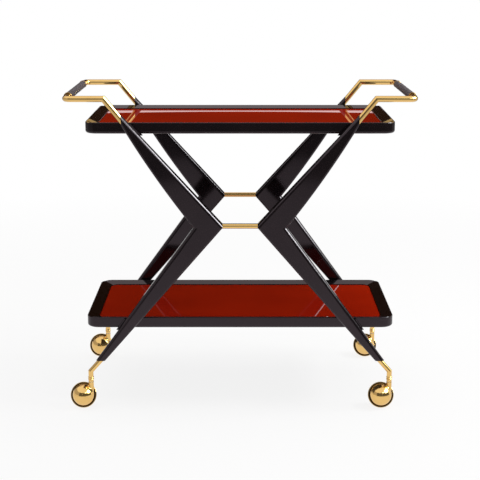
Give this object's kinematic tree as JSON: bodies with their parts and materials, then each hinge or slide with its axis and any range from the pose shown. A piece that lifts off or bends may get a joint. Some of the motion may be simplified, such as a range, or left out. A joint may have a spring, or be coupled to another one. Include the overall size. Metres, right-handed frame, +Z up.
{
  "type": "bar cart",
  "caption": "Two-tier bar cart on ball casters: black lacquered boomerang legs, red glass trays, brass tube handles with leather grips.",
  "frame": {"origin": "on the floor under the middle of the cart", "axes": "+X along the cart's length, +Y from its front to its back, +Z up"},
  "size_m": [0.9054, 0.5082, 0.8285],
  "materials": {
    "black_lacquer": "wood under a warm black satin-gloss lacquer",
    "polished_brass": "polished brass",
    "red_glass": "glossy glass, opaque deep red from behind",
    "grip_leather": "dark grey leather, sewn along its underside",
    "bright_steel": "plain bright steel"
  },
  "bodies": {
    "cart_frame": {"back_left_collar": "polished_brass", "back_left_grip_ring": "polished_brass", "back_left_leg": "black_lacquer", "back_left_stem": "polished_brass", "back_right_collar": "polished_brass", "back_right_grip_ring": "polished_brass", "back_right_leg": "black_lacquer", "back_right_stem": "polished_brass", "back_waist_rod": "polished_brass", "front_left_collar": "polished_brass", "front_left_grip_ring": "polished_brass", "front_left_leg": "black_lacquer", "front_left_stem": "polished_brass", "front_right_collar": "polished_brass", "front_right_grip_ring": "polished_brass", "front_right_leg": "black_lacquer", "front_right_stem": "polished_brass", "front_waist_rod": "polished_brass", "handle_studs": "bright_steel", "left_grip": "grip_leather", "left_handle_tube": "polished_brass", "lower_back_rail": "black_lacquer", "lower_board": "black_lacquer", "lower_front_rail": "black_lacquer", "lower_glass": "red_glass", "lower_left_rail": "black_lacquer", "lower_right_rail": "black_lacquer", "lower_screws": "bright_steel", "lower_spacers": "black_lacquer", "right_grip": "grip_leather", "right_handle_tube": "polished_brass", "upper_back_rail": "black_lacquer", "upper_board": "black_lacquer", "upper_front_rail": "black_lacquer", "upper_glass": "red_glass", "upper_left_rail": "black_lacquer", "upper_right_rail": "black_lacquer", "upper_screws": "bright_steel", "upper_spacers": "black_lacquer"},
    "front_left_caster": {"front_left_hood": "polished_brass", "front_left_axle": "bright_steel", "front_left_pintle": "bright_steel", "front_left_thrust_washer": "bright_steel"},
    "front_left_rolling_wheel": {"front_left_wheel": "polished_brass"},
    "front_right_caster": {"front_right_hood": "polished_brass", "front_right_axle": "bright_steel", "front_right_pintle": "bright_steel", "front_right_thrust_washer": "bright_steel"},
    "front_right_rolling_wheel": {"front_right_wheel": "polished_brass"},
    "back_left_caster": {"back_left_hood": "polished_brass", "back_left_axle": "bright_steel", "back_left_pintle": "bright_steel", "back_left_thrust_washer": "bright_steel"},
    "back_left_rolling_wheel": {"back_left_wheel": "polished_brass"},
    "back_right_caster": {"back_right_hood": "polished_brass", "back_right_axle": "bright_steel", "back_right_pintle": "bright_steel", "back_right_thrust_washer": "bright_steel"},
    "back_right_rolling_wheel": {"back_right_wheel": "polished_brass"}
  },
  "joints": [
    {"name": "front_left_swivel", "type": "hinge", "parent": "cart_frame", "child": "front_left_caster", "pos_m": [-0.394, -0.2225, 0.075], "axis": [0, 0, 1], "continuous": true},
    {"name": "front_left_roll", "type": "hinge", "parent": "front_left_caster", "child": "front_left_rolling_wheel", "pos_m": [-0.415, -0.2225, 0.0342], "axis": [0, 0.9397, -0.342], "continuous": true},
    {"name": "front_right_swivel", "type": "hinge", "parent": "cart_frame", "child": "front_right_caster", "pos_m": [0.394, -0.2225, 0.075], "axis": [0, 0, 1], "continuous": true},
    {"name": "front_right_roll", "type": "hinge", "parent": "front_right_caster", "child": "front_right_rolling_wheel", "pos_m": [0.373, -0.2225, 0.0342], "axis": [0, 0.9397, -0.342], "continuous": true},
    {"name": "back_left_swivel", "type": "hinge", "parent": "cart_frame", "child": "back_left_caster", "pos_m": [-0.394, 0.2225, 0.075], "axis": [0, 0, 1], "continuous": true},
    {"name": "back_left_roll", "type": "hinge", "parent": "back_left_caster", "child": "back_left_rolling_wheel", "pos_m": [-0.415, 0.2225, 0.0342], "axis": [0, 0.9397, -0.342], "continuous": true},
    {"name": "back_right_swivel", "type": "hinge", "parent": "cart_frame", "child": "back_right_caster", "pos_m": [0.394, 0.2225, 0.075], "axis": [0, 0, 1], "continuous": true},
    {"name": "back_right_roll", "type": "hinge", "parent": "back_right_caster", "child": "back_right_rolling_wheel", "pos_m": [0.373, 0.2225, 0.0342], "axis": [0, 0.9397, -0.342], "continuous": true}
  ]
}
